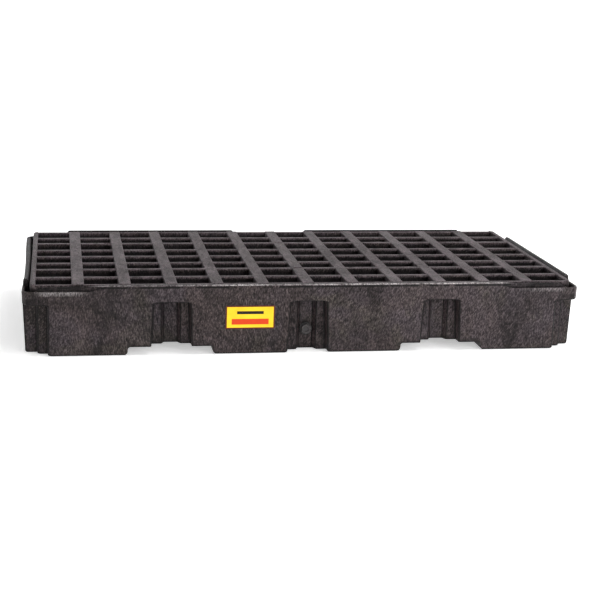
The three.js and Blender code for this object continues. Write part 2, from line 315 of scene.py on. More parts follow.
def filleted(points, radii, steps, fill):
    """Stations along a polyline with its inner corners rounded.

    fill gives how many extra stations each straight stretch takes."""
    points = [np.array(p, float) for p in points]
    stations = [points[0]]
    last = points[0]
    for i in range(1, len(points) - 1):
        u = points[i - 1] - points[i]
        v = points[i + 1] - points[i]
        u /= np.linalg.norm(u)
        v /= np.linalg.norm(v)
        half = math.acos(np.clip(u @ v, -1, 1)) / 2
        r = radii[i - 1]
        reach = r / math.tan(half)
        centre = points[i] + (u + v) / np.linalg.norm(u + v) * r / math.sin(half)
        begin = points[i] + u * reach
        end = points[i] + v * reach
        for k in range(fill[i - 1]):
            stations.append(last + (begin - last) * (k + 1) / (fill[i - 1] + 1))
        p0 = begin - centre
        p1 = end - centre
        turn = math.pi - 2 * half
        for k in range(steps + 1):
            a = k / steps
            arm = math.sin((1 - a) * turn) * p0 + math.sin(a * turn) * p1
            stations.append(centre + arm / math.sin(turn))
        last = end
    for k in range(fill[-1]):
        stations.append(last + (points[-1] - last) * (k + 1) / (fill[-1] + 1))
    stations.append(points[-1])
    return np.array(stations)


def wall_at(z):
    up = min(z, LIP_TOP) / LIP_TOP * LEAN
    return BASE_HALF_X + up, BASE_HALF_Y + up


def niche_points(z, grow, shrink):
    """Half a recess as (along the wall, depth from the lip's face), from its middle outwards."""
    half = NICHE_HALF_BASE + (NICHE_HALF_TOP - NICHE_HALF_BASE) * z / NICHE_TOP + grow - shrink
    depth = NICHE_STEP[1] + grow
    face = LEAN - wall_at(z)[0] + BASE_HALF_X + grow
    return [
        (0, NICHE_PANEL[1] + grow),
        (NICHE_PANEL[0] + grow - shrink / 2, NICHE_PANEL[1] + grow),
        (NICHE_STEP[0] + grow - shrink / 2, depth),
        (half, depth),
        (half, face),
        (half + 9, face),
    ]


NICHE_RADII = (3, 3.5, 4.5, MOUTH_R)
NICHE_FILL = (5, 3, 6, 4, 0)


def niche_half(z, grow, shrink):
    return filleted(niche_points(z, grow, shrink), NICHE_RADII, 4, NICHE_FILL)


def notch(z, grow, shrink):
    hx, hy = wall_at(z)
    (x1, y1), (x2, y2) = NOTCH
    move = shrink - grow
    x1, y1, x2, y2 = x1 + move, y1 + move, x2 + move, y2 + move
    return filleted(
        [(x1 - 9, -hy + grow), (x1, -hy + grow), (x1, -y1), (x2, -y1), (x2, -y2), (hx - grow, -y2),
         (hx - grow, -y2 + 9)],
        (MOUTH_R, 4, 5, 4, MOUTH_R), 4, (0, 3, 3, 2, 3, 0))


def spread(start, end, features, step):
    """Positions between start and end, closer together around the features."""
    near = [f + d for f in features for d in (-15, -11, -8, -5.5, -3.5, -1.5, 1.5, 3.5, 5.5, 8, 11, 15)]
    points = sorted([p for p in near if start + 1 < p < end - 1])
    result = []
    at = start
    for p in points + [end]:
        gap = p - at
        if gap > step * 1.3:
            n = int(math.ceil(gap / step))
            result += [at + gap * k / n for k in range(1, n)]
        if p < end and (not result or p - result[-1] > 1.0):
            result.append(p)
        at = p if p < end else at
    return [r for r in result if start + 0.5 < r < end - 0.5]


# Stations of the plain stretches, between the recesses: closer together at the channels' sides
# and where the ridges ramp up or down
NICHE_AT = 3 * BAR_PITCH
NICHE_REACH = 58.0             # from a niche's middle to past its rounded mouth
WALL_STEP = 9.0
PLAIN_FRONT_A = spread(NICHE_REACH, NICHE_AT - NICHE_REACH, [102, 90, CHANNEL[0]], WALL_STEP)
PLAIN_FRONT_B = spread(NICHE_AT + NICHE_REACH, 586, [CHANNEL[1], 487, 541], WALL_STEP)
PLAIN_END = spread(NICHE_REACH, 277, [234, 256], WALL_STEP)


def quarter_lower(z, grow=0.0, shrink=0.0):
    """Stations of the lower outline, from the front wall's middle to the right wall's."""
    hx, hy = wall_at(z)
    lip_x, lip_y = wall_at(LIP_TOP)
    half = niche_half(z, grow, shrink)
    to_front = lambda s, centre, side: np.column_stack([centre + side * s[:, 0], -(lip_y - s[:, 1])])
    to_end = lambda s: np.column_stack([lip_x - s[:, 1], -s[:, 0]])
    face = -(hy - grow)
    parts = [
        to_front(half, 0, 1),
        np.array([(x, face) for x in PLAIN_FRONT_A]),
        to_front(half[::-1], NICHE_AT, -1),
        to_front(half[1:], NICHE_AT, 1),
        np.array([(x, face) for x in PLAIN_FRONT_B]),
        notch(z, grow, shrink),
        np.array([(hx - grow, -y) for y in PLAIN_END[::-1]]),
        to_end(half[::-1]),
    ]
    kinds = ["niche", "plain", "niche", "niche", "plain", "notch", "plain", "niche"]
    return parts, kinds


def quarter_index():
    """Each station's kind, and the number of the stretch or recess that it belongs to."""
    parts, kinds = quarter_lower(NICHE_TOP)
    kind = []
    group = []
    for g, (p, k) in enumerate(zip(parts, kinds)):
        kind += [k] * len(p)
        # parts 2 and 3 are the two halves of one niche
        group += [3 if g == 2 else g] * len(p)
    return np.array(kind), np.array(group)


KIND, GROUP = quarter_index()


def along_corner(z, inset, travel):
    """The point of the upper outline so far along the front wall, round the corner and on."""
    hx, hy = wall_at(z)
    bend = CORNER_R * math.pi / 2
    start = BASE_HALF_X + LEAN - CORNER_R
    r = CORNER_R - inset
    cx = hx - CORNER_R
    cy = -(hy - CORNER_R)
    if travel <= start:
        return travel, -(hy - inset)
    if travel <= start + bend:
        a = (travel - start) / CORNER_R
        return cx + r * math.sin(a), cy - r * math.cos(a)
    return hx - inset, -(BASE_HALF_Y + LEAN - CORNER_R) + (travel - start - bend)


def travel_of(point):
    """How far round the upper outline a point on a wall lies."""
    x, y = point
    start = BASE_HALF_X + LEAN - CORNER_R
    if x < 600:
        return x
    return start + CORNER_R * math.pi / 2 + (y + BASE_HALF_Y + LEAN - CORNER_R)


def upper_travel(grow):
    """Where each station's partner lies on the upper outline, as a distance round it."""
    z = NICHE_TOP
    low = np.vstack(quarter_lower(z, grow, CEILING_R)[0])
    hx, hy = wall_at(z)
    depth = np.minimum(hx - grow - low[:, 0], hy - grow + low[:, 1])
    travel = np.zeros(len(low))
    for g in np.unique(GROUP):
        at = np.flatnonzero(GROUP == g)
        mouth = depth[at] < MOUTH_R + 0.01
        travel[at[mouth]] = [travel_of(p) for p in low[at[mouth]]]
        if mouth.all():
            continue
        inside = np.flatnonzero(~mouth)
        first = max(inside[0] - 1, 0)
        last = min(inside[-1] + 1, len(at) - 1)
        span = low[at[first:last + 1]]
        length = np.concatenate([[0], np.cumsum(np.linalg.norm(np.diff(span, axis=0), axis=1))])
        start = travel[at[first]] if mouth[first] else 0.0
        end = travel[at[last]] if mouth[last] else travel_of((BASE_HALF_X + LEAN, 0.0))
        travel[at[first:last + 1]] = start + (end - start) * length / length[-1]
    return travel


def around(quarter):
    """The whole outline from its front right quarter, anticlockwise from the front's middle."""
    right = np.vstack([quarter, (quarter * [1, -1])[-2::-1]])
    return np.vstack([right, (right * [-1, 1])[-2:0:-1]])


def around_values(values):
    right = np.concatenate([values, values[-2::-1]])
    return np.concatenate([right, right[-2:0:-1]])


def lower(z, grow=0.0, shrink=0.0):
    return around(np.vstack(quarter_lower(z, grow, shrink)[0]))


TRAVEL = {grow: around_values(upper_travel(grow)) for grow in (0.0, WALL)}
SIDES = np.where(lower(LEDGE) * [1, -1] < 0, -1, 1)


def upper(z, inset, grow=0.0):
    """The outline above the recesses. Height and inset are one number, or one for each station."""
    count = len(SIDES)
    heights = np.broadcast_to(z, count)
    insets = np.broadcast_to(inset, count)
    return np.array([
        along_corner(h, i, t) for h, i, t in zip(heights, insets, TRAVEL[grow])]) * SIDES


def ring(outline, z):
    return np.column_stack([outline, np.broadcast_to(z, len(outline))])


# ---- sump tray ----

def ease(t):
    t = np.clip(t, 0, 1)
    return t * t * (3 - 2 * t)


def progress(value, start, full):
    return (value - start) / (full - start)


def rim_sections():
    """Each station's own rim section: the lip at the corners, the low inner rim, or a ridge."""
    points = upper(LIP_TOP, 0.0)
    low = np.array(RIM_LOW + UNDER_RIM, float)
    lip = np.array(RIM_CORNER + UNDER_LIP, float)
    section = np.repeat(lip[None], len(points), axis=0)
    for i, (x, y) in enumerate(points):
        base = lip
        if abs(y) > BASE_HALF_Y + LEAN - 0.5:
            wall, s = ("front" if y < 0 else "back"), x
            base = low + (lip - low) * ease(progress(abs(x), *RIM_ENDS))
        elif abs(x) > BASE_HALF_X + LEAN - 0.5:
            wall, s = ("right" if x > 0 else "left"), y
        else:
            continue
        tall = np.array((RIM_FRONT if wall == "front" else RIM_TALL) + UNDER_RIM, float)
        amount = max(min(ease((s - a) / ramp), ease((b - s) / ramp)) for a, b, ramp in RIDGES[wall])
        section[i] = base + (tall - base) * amount
    return section


def tray_rings():
    plain = KIND == "plain"
    top_of = np.where(KIND == "notch", NOTCH_TOP, NICHE_TOP).astype(float)
    travel = upper_travel(0.0)
    top_of = np.where(plain, np.interp(travel, travel[~plain], top_of[~plain]), top_of)
    ceiling = around_values(top_of)
    inner = ring(lower(NICHE_TOP, 0, CEILING_R), ceiling)
    depth = np.linalg.norm(inner[:, :2] - upper(NICHE_TOP, 0.0), axis=1)
    open_here = np.clip(depth / 7, 0, 1) * around_values(np.where(plain, 0, 1))

    rings = []
    for grow, z in ((5, 0), (3.1, 0.38), (1.5, 1.5), (0.38, 3.1), (0, 5)):
        rings.append(ring(lower(z, grow), z))
    for share in (0.12, 0.24, 0.36, 0.48, 0.6, 0.72, 0.82, 0.9):
        rings.append(ring(lower(share * NICHE_TOP), share * ceiling))
    for step in range(5):
        a = step / 4 * math.pi / 2
        drop = CEILING_R * (1 - math.sin(a))
        rings.append(ring(lower(NICHE_TOP - drop, 0, CEILING_R * (1 - math.cos(a))), ceiling - drop))
    outer = ring(upper(NICHE_TOP, 3 * open_here), ceiling)
    for share in (0.35, 0.7, 1.0):
        rings.append(inner + (outer - inner) * share)
    for inset, rise in ((1.5, 0.4), (0.4, 1.5), (0, 3)):
        rings.append(ring(upper(NICHE_TOP + rise, inset * open_here), ceiling + rise))
    for z in (133, 139):
        rings.append(ring(upper(z, 0.0), z))
    section = rim_sections()
    for k in range(section.shape[1]):
        grow = 0.0 if k < len(RIM_LOW) else WALL
        rings.append(ring(upper(section[:, k, 1], section[:, k, 0], grow), section[:, k, 1]))

    # down the inside
    for inset, rise in ((7, 1.5), (8.5, 0)):
        rings.append(ring(upper(LEDGE, WALL + (inset - WALL) * open_here, WALL), LEDGE + rise))
    shell = lower(LEDGE, WALL)
    for grow, drop in ((4, 0), (5.4, 0.6), (6, 2)):
        edge = lower(LEDGE, grow)
        rings.append(ring(shell + (edge - shell) * open_here[:, None], LEDGE - drop))
    for z in (118, 100, 80, 60, 40, 24):
        rings.append(ring(lower(z, WALL), z))
    for grow, z in ((0, 15), (0.6, 11.9), (2.3, 9.3), (4.9, 7.6), (8, 7)):
        rings.append(ring(lower(z, WALL + grow), z))
    return rings


def circle(x, y, radius, z, sides=48):
    a = np.arange(sides) * 2 * math.pi / sides
    return np.column_stack([x + radius * np.cos(a), y + radius * np.sin(a), np.full(sides, z)])


def cone(x, y, section):
    """A round body standing on (x, y), from a list of (radius, height)."""
    return loft_data([circle(x, y, r, z) for r, z in section])


def lying(section, sides=48):
    """A round body on the drain's axis, along Y, from a list of (radius, y)."""
    rings = []
    for r, y in section:
        flat = circle(0, 0, r, 0, sides)
        rings.append(np.column_stack([flat[:, 0], np.full(sides, y), DRAIN_Z + flat[:, 1]]))
    return loft_data(rings)


COLUMNS = [(k * BAR_PITCH, side * 1.5 * RIB_PITCH) for k in (-5, -3, -1, 1, 3, 5) for side in (-1, 1)]
COLUMN_OUT = [(48, 5.5), (48, 7), (45.2, 7.6), (43, 9.2), (41.6, 12), (40.9, 16), (32.6, 124), (32, 127),
              (30.6, 129.2), (28, 130)]
COLUMN_IN = [(41, -3), (41, 0), (38.4, 0.8), (36.6, 3), (36, 6), (27.4, 116), (26.6, 119.4), (24.6, 122),
             (21, 123.4)]


def channel_tool(side):
    """What is taken away for one relief channel, with rounded feet and a rounded roof."""
    low, high, top = CHANNEL
    foot, roof = CHANNEL_FOOT_R, CHANNEL_ROOF_R
    half = (high - low) / 2
    right = [(half + 2 * foot, -6)]
    right += arc(half + foot, foot, foot, 3, 2, 5)
    right += arc(half - roof, top - roof, roof, 0, 1, 4)
    outline = right + [(-x, z) for x, z in reversed(right)]
    return sweep(outline, "y", side * (low + high) / 2, -PAST_WALLS, PAST_WALLS, 23)


def channel_humps():
    """The sump's floor rises over both relief channels, between the walls and round the recesses."""
    low, high, top = CHANNEL
    foot = FLOOR / 2
    section = rounded_section((high - low) / 2 + WALL, foot, top + WALL, HUMP_R, 6)
    middle = (low + high) / 2
    swept = [sweep(section, "y", side * middle, -PAST_WALLS, PAST_WALLS, 24) for side in (-1, 1)]
    humps = make_object("humps", *merged(swept))
    plan = [ring(lower(z, WALL / 2), z) for z in (foot - 1, top + 2 * WALL)]
    combine(humps, [loft_data(plan)], "INTERSECT")
    data = body_data(humps)
    bpy.data.objects.remove(humps)
    return data


def build_tray():
    tray = make_object("tray_body", *loft_data(tray_rings()))
    weld(tray, 0.01)
    combine(tray, [channel_humps()], "UNION")
    combine(tray, [cone(x, y, COLUMN_OUT) for x, y in COLUMNS], "UNION")
    inner = DRAIN_FACE_Y + WALL
    combine(tray, [lying([(r, inner + y) for r, y in BOSS])], "UNION")
    for side in (-1, 1):
        combine(tray, [channel_tool(side)], "DIFFERENCE")
    combine(tray, [cone(x, y, COLUMN_IN) for x, y in COLUMNS], "DIFFERENCE")
    bore = [(DRAIN_BORE_R, DRAIN_FACE_Y - 5), (DRAIN_BORE_R, inner + 30)]
    combine(tray, [lying(bore)], "DIFFERENCE")
    return tray


def sink_left_end(obj):
    """The left wall has sunk in a little behind its front corner."""
    mesh = obj.data
    co = np.zeros(len(mesh.vertices) * 3)
    mesh.vertices.foreach_get("co", co)
    co = co.reshape(-1, 3)
    x = co[:, 0] / MM
    y = co[:, 1] / MM
    amount = ease(progress(y, *SINK_GROWS)) * ease(progress(y, *SINK_FADES))
    co[:, 0] += SINK * MM * amount * ease(progress(x, *SINK_OUT))
    mesh.vertices.foreach_set("co", co.ravel())
    mesh.update()


# ---- grating ----

def rounded_section(half, foot, top, radius, steps=4):
    """Outline of a bar with rounded top edges, as (across, height), from one foot to the other."""
    right = [(half, foot)] + arc(half - radius, top - radius, radius, 0, 1, steps)
    return right + [(-x, z) for x, z in reversed(right)]


def sweep(section, axis, at, start, end, pieces):
    """A straight body with that section, along X or Y, centred on at across it."""
    outline = np.array(section, float)
    rings = []
    for s in np.linspace(start, end, pieces + 1):
        across = outline[:, 0] + at
        along = np.full(len(outline), s)
        pair = (across, along) if axis == "y" else (along, across)
        rings.append(np.column_stack([pair[0], pair[1], outline[:, 1]]))
    return loft_data(rings)


def rib_section(level, radius):
    under = level - RIB_CAP
    top = rounded_section(RIB_HALF, under, level, radius, 5)
    web = [(-WEB_HALF, under), (-WEB_HALF, DECK_FOOT), (WEB_HALF, DECK_FOOT), (WEB_HALF, under)]
    return top + web


def rounded_rectangle(half_x, half_y, radius, steps, inset=0.0):
    """Outline round the origin with rounded corners, drawn in by inset."""
    points = []
    for corner, (sx, sy) in enumerate(((1, 1), (-1, 1), (-1, -1), (1, -1))):
        x = sx * (half_x - radius)
        y = sy * (half_y - radius)
        points += arc(x, y, radius - inset, corner, corner + 1, steps)
    return np.array(points)


def bar(half, at):
    """One bar from front to back."""
    section = rounded_section(half, DECK_FOOT, DECK_TOP, BAR_EDGE_R)
    return sweep(section, "y", at, -DECK_HALF_Y, DECK_HALF_Y, 40)


def rib(section, at, short):
    """One rib along the length, that much shorter than the deck at each end."""
    return sweep(section, "x", at, -DECK_HALF_X + short, DECK_HALF_X - short, 80)


def slot_tool(x, y):
    """What is taken away for one lifting slot, a little wider at its rounded mouth."""
    rings = []
    for grow, z in ((0, DECK_FOOT - 3), (0, DECK_TOP - 2.5), (0.5, DECK_TOP - 1), (1.4, DECK_TOP),
                    (1.4, DECK_TOP + 3)):
        outline = rounded_rectangle(SLOT_HALF[0] + grow, SLOT_HALF[1] + grow, SLOT_R, 4)
        rings.append(ring(outline + [x, y], z))
    return loft_data(rings)


def build_grating():
    bar_places = [k * BAR_PITCH for k in range(-5, 6)]
    plain_rib = rib_section(RIB_TOP, RIB_EDGE_R)
    slotted_rib = rib_section(DECK_TOP, SLOTTED_EDGE_R)
    half = BORDER / 2
    border = rounded_section(half, DECK_FOOT, RIB_TOP, BAR_EDGE_R)
    deck = make_object("deck_panel", *merged([bar(BAR_HALF, x) for x in bar_places]))
    ribs = [rib(slotted_rib if abs(k) == 2 else plain_rib, k * RIB_PITCH, 4) for k in range(-3, 4)]
    combine(deck, ribs, "UNION")
    combine(deck, [bar(half, side * (DECK_HALF_X - half)) for side in (-1, 1)], "UNION")
    combine(deck, [rib(border, side * (DECK_HALF_Y - half), 1) for side in (-1, 1)], "UNION")
    trim = ((DECK_FOOT - 5, 0), (DECK_TOP - 4, 0), (DECK_TOP - 1.4, 0.6), (DECK_TOP, 2.2),
            (DECK_TOP + 5, 2.2))
    outline = [ring(rounded_rectangle(DECK_HALF_X, DECK_HALF_Y, DECK_R, 8, inset), z) for z, inset in trim]
    combine(deck, [loft_data(outline)], "INTERSECT")
    hollow = rounded_section(BAR_HOLLOW_HALF, DECK_FOOT - 2, DECK_TOP - 6, 2)
    inside = DECK_HALF_Y - BORDER
    combine(deck, [sweep(hollow, "y", x, -inside, inside, 1) for x in bar_places], "DIFFERENCE")
    slots = [slot_tool(x, y) for x in (-SLOT_X, 0, SLOT_X) for y in (-2 * RIB_PITCH, 2 * RIB_PITCH)]
    combine(deck, slots, "DIFFERENCE")
    return deck


# ---- drain plug, seal and label ----

def hexagon(scale, y):
    """Section of the plug's head, with its corners taken off."""
    corner_r = HEX_FLATS / 2 / math.cos(math.pi / 6) * scale
    points = []
    for k in range(36):
        a = (k / 6 + 0.5) * math.pi / 3
        off_middle = (k % 6 / 6 - 0.5) * math.pi / 3
        r = corner_r * min(math.cos(math.pi / 6) / math.cos(off_middle), HEX_BLUNT)
        points.append((r * math.cos(a), y, DRAIN_Z + r * math.sin(a)))
    return points


def build_plug():
    """Hexagonal head on a round flange, with a threaded shank behind it."""
    face = DRAIN_FACE_Y - SEAL_SPACE
    middle = FLANGE_R - 4
    blunt = FLANGE_R - FLANGE_EDGE
    front = face - FLANGE
    flange = [(middle, face + 0.5), (blunt, face), (FLANGE_R, face - FLANGE_EDGE),
              (FLANGE_R, front + FLANGE_EDGE), (blunt, front), (middle, front - 0.1)]
    plug = make_object("drain_cap", *lying(flange, 64))
    combine(plug, [loft_data([hexagon(scale, face - out) for scale, out in HEX_HEAD])], "UNION")
    shank = [(THREAD_ROOT_R, face - 1)]
    y = face + 2.5
    while y < face + SHANK_END - 2:
        shank += [(THREAD_ROOT_R, y), (THREAD_CREST_R, y + 0.7), (THREAD_CREST_R, y + 1.1),
                  (THREAD_ROOT_R, y + 1.8)]
        y += THREAD_PITCH
    shank += [(THREAD_ROOT_R, face + SHANK_END - 1), (THREAD_ROOT_R - 0.8, face + SHANK_END)]
    combine(plug, [lying(shank)], "UNION")
    return plug


def squarish(value):
    return math.copysign(abs(value) ** SEAL_POWER, value)


def build_seal():
    """Rubber ring between the plug's flange and the recess's back panel."""
    middle_y = DRAIN_FACE_Y - SEAL_SPACE / 2
    rings = []
    for k in range(48):
        a = k / 48 * 2 * math.pi
        section = []
        for j in range(16):
            b = j / 16 * 2 * math.pi
            r = SEAL_R + SEAL_HALF[0] * squarish(math.cos(b))
            y = middle_y + SEAL_HALF[1] * squarish(math.sin(b))
            section.append((r * math.cos(a), y, DRAIN_Z + r * math.sin(a)))
        rings.append(section)
    return make_object("seal_ring", *loft_data(rings, closed=True))


def build_label():
    """A thin film with rounded corners that lies on the drafted wall."""
    rings = []
    for inset, lift in ((0.0, 0.05), (0.0, 0.35), (0.25, 0.5)):
        outline = rounded_rectangle(*LABEL_HALF, LABEL_R, 6, inset) + [LABEL_X, LABEL_Z]
        rings.append([(x, -(wall_at(z)[1] + lift), z) for x, z in outline])
    return make_object("label_film", *loft_data(rings))


# ---- materials ----

class Nodes:
    """Short ways to add and link shader nodes."""

    def __init__(self, name):
        self.material = bpy.data.materials.new(name)
        self.material.use_nodes = True
        self.tree = self.material.node_tree
        self.shader = self.tree.nodes["Principled BSDF"]
        self.place = self.add("ShaderNodeTexCoord").outputs["Object"]

    def add(self, kind, **settings):
        node = self.tree.nodes.new(kind)
        for key, value in settings.items():
            setattr(node, key, value)
        return node

    def put(self, socket, value):
        if isinstance(value, bpy.types.NodeSocket):
            self.tree.links.new(value, socket)
        else:
            socket.default_value = value

    def stretched(self, scale, turn=(0, 0, 0)):
        """Coordinates turned and then scaled, so that a pattern is drawn out along the turned axes."""
        turned = self.add("ShaderNodeMapping")
        self.put(turned.inputs["Vector"], self.place)
        turned.inputs["Rotation"].default_value = [math.radians(a) for a in turn]
        scaled = self.add("ShaderNodeMapping")
        self.put(scaled.inputs["Vector"], turned.outputs["Vector"])
        scaled.inputs["Scale"].default_value = scale
        return scaled.outputs["Vector"]

    def cells(self, scale, at):
        """One random shade for each of a field of straight-edged cells."""
        node = self.add("ShaderNodeTexVoronoi")
        self.put(node.inputs["Vector"], at)
        node.inputs["Scale"].default_value = scale
        return self.part(node.outputs["Color"], "X")

    def noise(self, scale, detail=4.0, roughness=0.55, distortion=0.0, at=None):
        node = self.add("ShaderNodeTexNoise")
        self.put(node.inputs["Vector"], at or self.place)
        node.inputs["Scale"].default_value = scale
        node.inputs["Detail"].default_value = detail
        node.inputs["Roughness"].default_value = roughness
        node.inputs["Distortion"].default_value = distortion
        return node.outputs["Fac"]

    def remap(self, value, low, high, to_low=0.0, to_high=1.0):
        node = self.add("ShaderNodeMapRange", clamp=True)
        for key, number in zip(("Value", "From Min", "From Max", "To Min", "To Max"),
                               (value, low, high, to_low, to_high)):
            self.put(node.inputs[key], number)
        return node.outputs["Result"]

    def ramp(self, length, start, full, low=0.0, high=1.0):
        """From low to high as a length goes from start to full, both in millimetres."""
        return self.remap(length, start * MM, full * MM, low, high)

    def between(self, length, start, full, last, end):
        """1 from full to last, and down to 0 at start and end, all in millimetres."""
        return self.product(self.ramp(length, start, full), self.ramp(length, last, end, 1.0, 0.0))

    def math(self, operation, a, b=0.0):
        node = self.add("ShaderNodeMath", operation=operation)
        self.put(node.inputs[0], a)
        self.put(node.inputs[1], b)
        return node.outputs["Value"]

    def product(self, first, *others):
        for factor in others:
            first = self.math("MULTIPLY", first, factor)
        return first

    def abs(self, value):
        return self.math("ABSOLUTE", value)

    def times(self, a, b):
        """Two colours multiplied, or a colour and a value."""
        node = self.add("ShaderNodeMix", data_type="RGBA", blend_type="MULTIPLY")
        node.inputs["Factor"].default_value = 1.0
        self.put(node.inputs["A"], a)
        self.put(node.inputs["B"], b)
        return node.outputs["Result"]

    def mix(self, share, a, b):
        node = self.add("ShaderNodeMix", data_type="RGBA")
        self.put(node.inputs["Factor"], share)
        self.put(node.inputs["A"], a)
        self.put(node.inputs["B"], b)
        return node.outputs["Result"]

    def attribute(self, name):
        return self.add("ShaderNodeAttribute", attribute_name=name).outputs["Fac"]

    def bump(self, height, distance, strength=1.0, base=None):
        node = self.add("ShaderNodeBump")
        node.inputs["Distance"].default_value = distance * MM
        node.inputs["Strength"].default_value = strength
        self.put(node.inputs["Height"], height)
        if base is not None:
            self.put(node.inputs["Normal"], base)
        return node.outputs["Normal"]

    def part(self, vector, axis):
        node = self.add("ShaderNodeSeparateXYZ")
        self.put(node.inputs["Vector"], vector)
        return node.outputs[axis]

    def surface(self, colour, rough, normal, specular=0.5):
        """The material, with its shader dressed."""
        self.put(self.shader.inputs["Base Color"], colour)
        self.put(self.shader.inputs["Roughness"], rough)
        self.put(self.shader.inputs["Normal"], normal)
        self.put(self.shader.inputs["Specular IOR Level"], specular)
        return self.material

    def at(self, axis):
        return self.part(self.place, axis)

    def facing(self, axis):
        return self.part(self.add("ShaderNodeNewGeometry").outputs["Normal"], axis)


TONE = (0.42, 0.6)             # tones that take the dark and the light shade
TRAY_SHADES = (0.012, 0.070)
TRAY_WORN = 0.10
GRATING_SHADES = (0.006, 0.062)
GRATING_WORN = 0.098
PLAIN_TINT = (1.0, 0.80, 0.815)
WORN_TINT = (1.0, 0.77, 0.84)
# Tint and shade of the painted highlights on the rim and the lip
HIGHLIGHT_TINT = (1.0, 0.92, 0.92)
RIM_HIGHLIGHT = 0.42
DEEP = 0.003                   # darkest colour: painted shade in creases, on the rim, in the sump, on the webs and on the plug's flange, and dark marks under the rim's edge
FOAM_SPECULAR = 0.16

# Flow lines in the front wall: where each meets the floor and the lip, and how far the darker
# tone beside it fades away (to the right if positive, to the left if negative)
FLOW_LINES = ((-477, -441, -60), (168, 135, 75), (476, 440, 70), (492, 554, -80))
FLOW_DEPTH = 0.045

# Painted shade: darker towards the left, and more so in the left corner's recess: from, to, by how much
LEFT_PAINTED_SHADE = ((0, -500, 0.022), (-585, -610, 0.028))

# Painted highlights: on the rim's front edge, and on the lip beside the front corners
EDGE_HIGHLIGHT_Z = (161.6, 163.0)
LIP_HIGHLIGHT_Z = (140.0, 148.5, 150.8, 151.2)
LIP_HIGHLIGHT_X = (500.0, 550.0, 600.0, 628.0)

# Painted shade on the rim, above all towards the corners, and in the sump; broken dark marks under the
# painted highlight on the rim's edge
RIM_SHADE_Z = (150.8, 152.8)
RIM_SHADE_X = (490.0, 530.0)
DARK_MARK_Z = (156.5, 158.0, 160.8, 161.6)
SUMP_X = (585.0, 595.0)
SUMP_Y = (278.0, 284.0)

# Painted shade on the grating's webs below the caps of its ribs
WEB_SHADE_Z = (153.5, 158.5)

PLUG_SHADE_RING = (10.6, 11.4)       # beyond this radius the plug's flange gets painted shade

# The label's print: what the border leaves, and each bar's half length, height and half width
LABEL_INSIDE = (54.0, 24.6)
RED_BAR = (43.0, -10.5, 6.8)
BLACK_BAR = (31.0, 11.0, 3.6)


def grey(value, tint=PLAIN_TINT):
    return [value * t for t in tint] + [1.0]


def weighted(n, *pairs):
    total = 0.0
    for value, weight in pairs:
        total = n.math("ADD", n.product(value, weight), total)
    return total


class Mottling:
    """The uneven tone of foamed plastic: clouds, flow fronts, swirls, slanting strokes and specks."""

    def __init__(self, n):
        self.clouds = n.noise(6.0, 5, 0.6, 1.4)
        fronts = n.cells(4.2, n.stretched((1.0, 1.0, 0.5), (0, 21, 0)))
        self.swirl = n.noise(15.0, 6, 0.7, 3.0, n.stretched((1.0, 1.0, 0.5), (0, 30, 0)))
        rising = n.noise(380.0, 2, 0.6, 0.6, n.stretched((1.0, 1.0, 0.2), (0, -40, 0)))
        falling = n.noise(380.0, 2, 0.6, 0.6, n.stretched((1.0, 1.0, 0.16), (0, 14, 0)))
        side = n.remap(n.noise(3.4, 2, 0.5), 0.44, 0.56)
        other_side = n.math("SUBTRACT", 1.0, side)
        self.strokes = n.math("ADD", n.product(rising, side), n.product(falling, other_side))
        self.specks = n.noise(230.0, 3, 0.7)
        self.tone = weighted(n, (self.clouds, 0.16), (fronts, 0.05), (self.swirl, 0.16),
                             (self.strokes, 0.35), (self.specks, 0.28))


def flow_lines(n):
    """Darkening beside the slanting lines where flows of plastic met in the front wall."""
    total = 0.0
    for foot, head, reach in FLOW_LINES:
        lean = (head - foot) / LIP_TOP
        line = n.math("ADD", n.product(n.at("Z"), lean), foot * MM)
        across = n.math("DIVIDE", n.math("SUBTRACT", n.at("X"), line), reach * MM)
        beside = n.product(n.remap(across, -0.03, 0.03), n.remap(across, 0.0, 1.0, FLOW_DEPTH, 0.0))
        total = n.math("ADD", beside, total)
    return n.product(total, n.ramp(n.at("Y"), -250, -280))


def moulded_colour(n, tone, shades):
    """The bare plastic, with faint warm, violet and olive casts."""
    base = n.mix(n.remap(tone, *TONE), grey(shades[0]), grey(shades[1]))
    warmth = n.remap(n.noise(5.0, 4, 0.6, 1.2), 0.38, 0.62)
    cast = n.mix(warmth, (1.0, 0.93, 0.91, 1), (0.94, 0.92, 1.0, 1))
    olive = n.remap(n.noise(7.5, 4, 0.6, 1.5), 0.52, 0.66, 0.0, 0.8)
    return n.times(base, n.mix(olive, cast, (0.98, 1.0, 0.86, 1)))


def moulded_roughness(n, tone, middle):
    """Rough where the tone is dark, smoother where it is light."""
    return n.remap(tone, *TONE, middle + 0.12, middle - 0.12)


def rubbed_edges(n, amount):
    patches = n.remap(n.noise(26.0, 5, 0.7), 0.35, 0.62, 0.1, 1.0)
    return n.product(n.attribute("edge"), patches, amount)


def rubbed_top(n, amount):
    up = n.remap(n.facing("Z"), 0.3, 0.9)
    patches = n.noise(42.0, 5, 0.72, 0.8, n.stretched((1.0, 0.3, 1.0)))
    return n.product(up, n.remap(patches, 0.36, 0.64), amount)


def front_rim(n):
    """The side of the front rim that faces forward."""
    return n.product(n.remap(n.facing("Y"), -0.1, -0.35), n.ramp(n.at("Y"), -200, -300))


